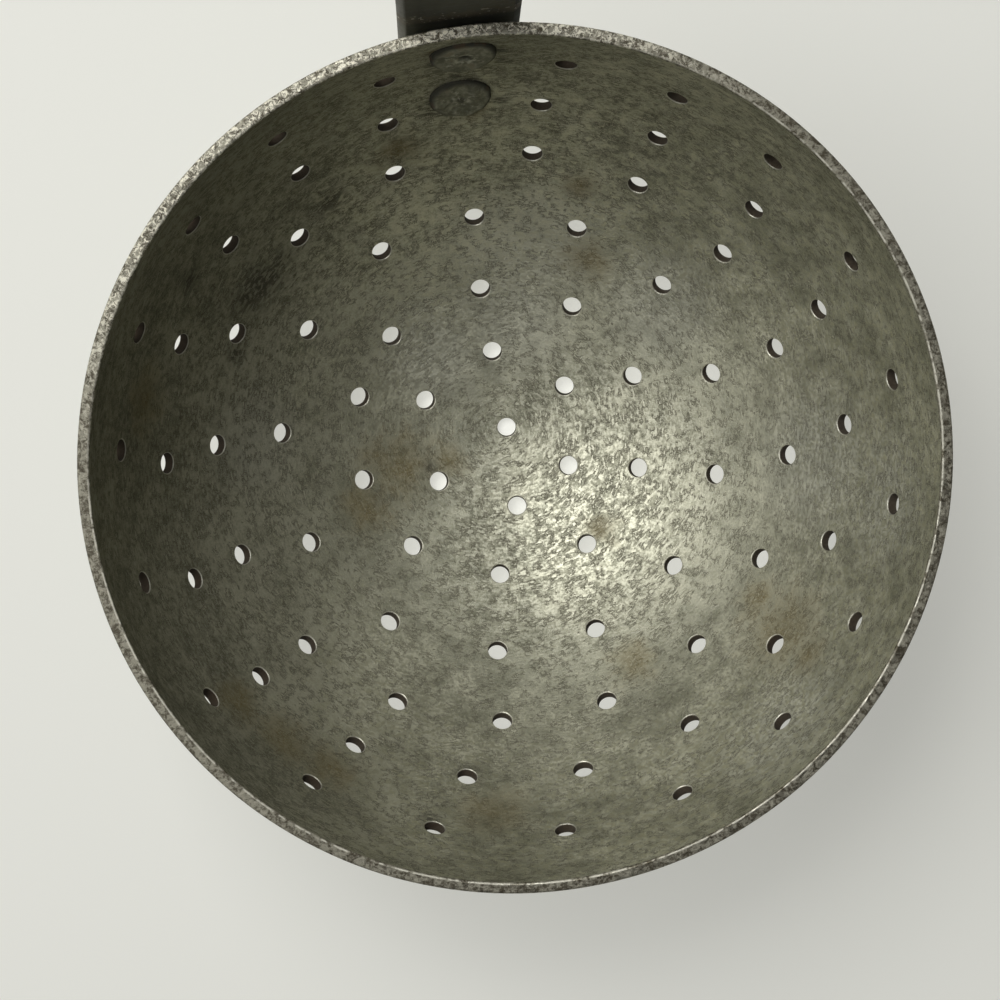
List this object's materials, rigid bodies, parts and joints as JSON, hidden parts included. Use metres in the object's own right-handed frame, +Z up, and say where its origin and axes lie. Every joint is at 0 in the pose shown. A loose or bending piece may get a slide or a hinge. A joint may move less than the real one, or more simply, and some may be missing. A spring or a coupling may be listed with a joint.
{
  "type": "perforated ladle",
  "caption": "Round-bottomed metal ladle drilled all over in rings, with a long riveted strap handle that ends in a hanging hole.",
  "frame": {"origin": "lowest point of the bowl's outside, on the axis that the bowl was turned on", "axes": "+Z up along the bowl's axis, out of its mouth; +Y towards the handle; the rim is level"},
  "size_m": [0.18, 0.2394, 0.4019],
  "materials": {
    "cast_aluminium": "dull worn casting with fine marks round its axis and brown stains",
    "strap_iron": "dark scale, worn lighter along the edges",
    "rivet_iron": "dark, hammered, with bright worn spots"
  },
  "bodies": {
    "root": {"bowl": "cast_aluminium", "handle": "strap_iron", "rivet_upper": "rivet_iron", "rivet_lower": "rivet_iron"}
  },
  "joints": []
}
